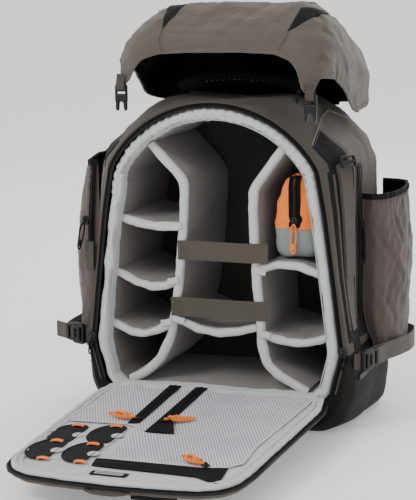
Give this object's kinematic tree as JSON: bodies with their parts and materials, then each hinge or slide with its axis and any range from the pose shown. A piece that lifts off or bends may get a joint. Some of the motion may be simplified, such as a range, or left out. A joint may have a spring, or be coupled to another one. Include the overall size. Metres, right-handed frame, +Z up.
{
  "type": "camera backpack",
  "caption": "Camera backpack with fold-down front panel, padded divided compartment, hinged lid, side pockets, compression straps and a padded harness.",
  "frame": {"origin": "centre of the flat underside of the base, on the ground", "axes": "+Z up, -Y towards the opening and the folded-down front panel, +Y towards the wearer's back, +X to the right seen from the front"},
  "size_m": [0.508, 0.7172, 0.6045],
  "materials": {
    "taupe_cloth": "matte ripstop nylon",
    "taupe_webbing": "matte ribbed webbing",
    "black_cloth": "coated heavy nylon",
    "black_webbing": "ribbed webbing and zip tape",
    "black_plastic": "satin acetal",
    "grey_lining": "brushed loop lining",
    "mesh": "open knitted mesh",
    "pad_mesh": "padded spacer mesh",
    "orange_cloth": "bright nylon",
    "orange_cord": "braided cord",
    "alloy": "satin",
    "board": "pressed polyethylene sheet"
  },
  "bodies": {
    "bag": {"boot": "black_cloth", "shell": "taupe_cloth", "zip_track": "black_webbing", "liner": "grey_lining", "divider_left": "grey_lining", "divider_right": "grey_lining", "shelf_left_upper": "grey_lining", "shelf_left_middle": "grey_lining", "shelf_left_lower": "grey_lining", "shelf_centre": "grey_lining", "shelf_right_upper": "grey_lining", "shelf_right_lower": "grey_lining", "frame_sheet": "board", "stay_left": "alloy", "stay_right": "alloy", "back_pad": "pad_mesh", "lumbar_pad": "pad_mesh", "shoulder_strap_left": "pad_mesh", "shoulder_strap_right": "pad_mesh", "strap_webbing_left": "black_webbing", "strap_webbing_right": "black_webbing", "side_pocket_left": "taupe_cloth", "side_pocket_right": "taupe_cloth", "load_strap": "taupe_webbing", "ladder_lock": "black_plastic", "compression_strap_left": "taupe_webbing", "compression_strap_right": "taupe_webbing", "side_buckle_socket_left": "black_plastic", "side_buckle_socket_right": "black_plastic"},
    "front_panel": {"panel_shell": "taupe_cloth", "panel_lining": "grey_lining", "panel_zip_track": "black_webbing", "front_pocket": "taupe_cloth", "mesh_pockets": "mesh", "panel_zip_left": "black_webbing", "panel_zip_centre": "black_webbing", "panel_zip_front": "black_webbing", "card_pockets": "black_cloth"},
    "panel_pull_left": {"panel_pull_left": "orange_cord"},
    "panel_pull_centre": {"panel_pull_centre": "orange_cord"},
    "panel_pull_front": {"panel_pull_front": "orange_cord"},
    "lid": {"lid": "taupe_cloth"},
    "lid_buckle_left": {"lid_buckle_plug_left": "black_plastic"},
    "lid_buckle_right": {"lid_buckle_plug_right": "black_plastic"},
    "haul_handle": {"haul_handle": "black_plastic"},
    "main_slider_left": {"main_zip_slider_left": "black_plastic"},
    "main_slider_right": {"main_zip_slider_right": "black_plastic"},
    "retainer_upper": {"retaining_strap_upper": "taupe_webbing"},
    "retainer_lower": {"retaining_strap_lower": "taupe_webbing"},
    "pouch": {"accessory_pouch": "orange_cloth"},
    "pouch_pull": {"pouch_zip_pull": "orange_cord"},
    "side_plug_left": {"side_buckle_plug_left": "black_plastic"},
    "side_plug_right": {"side_buckle_plug_right": "black_plastic"},
    "side_slider_left": {"side_zip_slider_left": "black_plastic"},
    "side_slider_right": {"side_zip_slider_right": "black_plastic"},
    "belt_left": {"belt_wing_left": "pad_mesh", "belt_buckle_plug": "black_plastic"},
    "belt_right": {"belt_wing_right": "pad_mesh", "belt_buckle_socket": "black_plastic"},
    "sternum": {"sternum_strap": "black_webbing"}
  },
  "joints": [
    {"name": "front_panel_hinge", "type": "hinge", "parent": "bag", "child": "front_panel", "pos_m": [0.008, -0.1175, 0.058], "axis": [1, 0, 0], "range_deg": [-91.8, 0]},
    {"name": "panel_pull_left_slide", "type": "slide", "parent": "front_panel", "child": "panel_pull_left", "axis": [-0.049, 0.9983, 0.0314], "range_m": [0, 0.14]},
    {"name": "panel_pull_centre_slide", "type": "slide", "parent": "front_panel", "child": "panel_pull_centre", "axis": [-0.033, 0.999, 0.0314], "range_m": [0, 0.13]},
    {"name": "panel_pull_front_slide", "type": "slide", "parent": "front_panel", "child": "panel_pull_front", "axis": [-1, 0, 0], "range_m": [0, 0.11]},
    {"name": "lid_hinge", "type": "hinge", "parent": "bag", "child": "lid", "pos_m": [0, 0.115, 0.45], "axis": [-1, 0, 0], "range_deg": [-17.5, 75]},
    {"name": "lid_buckle_left_swing", "type": "hinge", "parent": "lid", "child": "lid_buckle_left", "pos_m": [-0.122, -0.1431, 0.4916], "axis": [1, 0, 0], "range_deg": [-35, 35]},
    {"name": "lid_buckle_right_swing", "type": "hinge", "parent": "lid", "child": "lid_buckle_right", "pos_m": [0.154, -0.147, 0.4802], "axis": [1, 0, 0], "range_deg": [-35, 35]},
    {"name": "haul_handle_swing", "type": "hinge", "parent": "bag", "child": "haul_handle", "pos_m": [0, 0.015, 0.4755], "axis": [1, 0, 0], "range_deg": [-50, 50], "stiffness_Nm_per_rad": 0.6},
    {"name": "main_zip_left_slide", "type": "slide", "parent": "bag", "child": "main_slider_left", "axis": [0.1307, 0, 0.9914], "range_m": [0, 0.22]},
    {"name": "main_zip_right_slide", "type": "slide", "parent": "bag", "child": "main_slider_right", "axis": [-0.1307, 0, 0.9914], "range_m": [0, 0.22]},
    {"name": "retainer_upper_hinge", "type": "hinge", "parent": "bag", "child": "retainer_upper", "pos_m": [-0.057, -0.1043, 0.254], "axis": [0, 0, -1], "range_deg": [0, 110]},
    {"name": "retainer_lower_hinge", "type": "hinge", "parent": "bag", "child": "retainer_lower", "pos_m": [-0.069, -0.1043, 0.171], "axis": [0, 0, -1], "range_deg": [0, 110]},
    {"name": "pouch_slide", "type": "slide", "parent": "bag", "child": "pouch", "axis": [0, -1, 0], "range_m": [0, 0.12]},
    {"name": "pouch_zip_slide", "type": "slide", "parent": "pouch", "child": "pouch_pull", "axis": [0, 0, 1], "range_m": [0, 0.045]},
    {"name": "side_plug_left_slide", "type": "slide", "parent": "bag", "child": "side_plug_left", "axis": [-0.9063, 0.4226, 0], "range_m": [0, 0.018]},
    {"name": "side_plug_right_slide", "type": "slide", "parent": "bag", "child": "side_plug_right", "axis": [0.3173, 0.9483, 0], "range_m": [0, 0.02]},
    {"name": "side_zip_left_slide", "type": "slide", "parent": "bag", "child": "side_slider_left", "axis": [0, 0, 1], "range_m": [-0.1, 0.06]},
    {"name": "side_zip_right_slide", "type": "slide", "parent": "bag", "child": "side_slider_right", "axis": [0, 0, 1], "range_m": [-0.055, 0.03]},
    {"name": "belt_left_hinge", "type": "hinge", "parent": "bag", "child": "belt_left", "pos_m": [-0.104, 0.151, 0.116], "axis": [0, 0, 1], "range_deg": [0, 110]},
    {"name": "belt_right_hinge", "type": "hinge", "parent": "bag", "child": "belt_right", "pos_m": [0.104, 0.151, 0.116], "axis": [0, 0, -1], "range_deg": [0, 110]},
    {"name": "sternum_slide", "type": "slide", "parent": "bag", "child": "sternum", "axis": [0, 0, 1], "range_m": [-0.035, 0.035]}
  ]
}
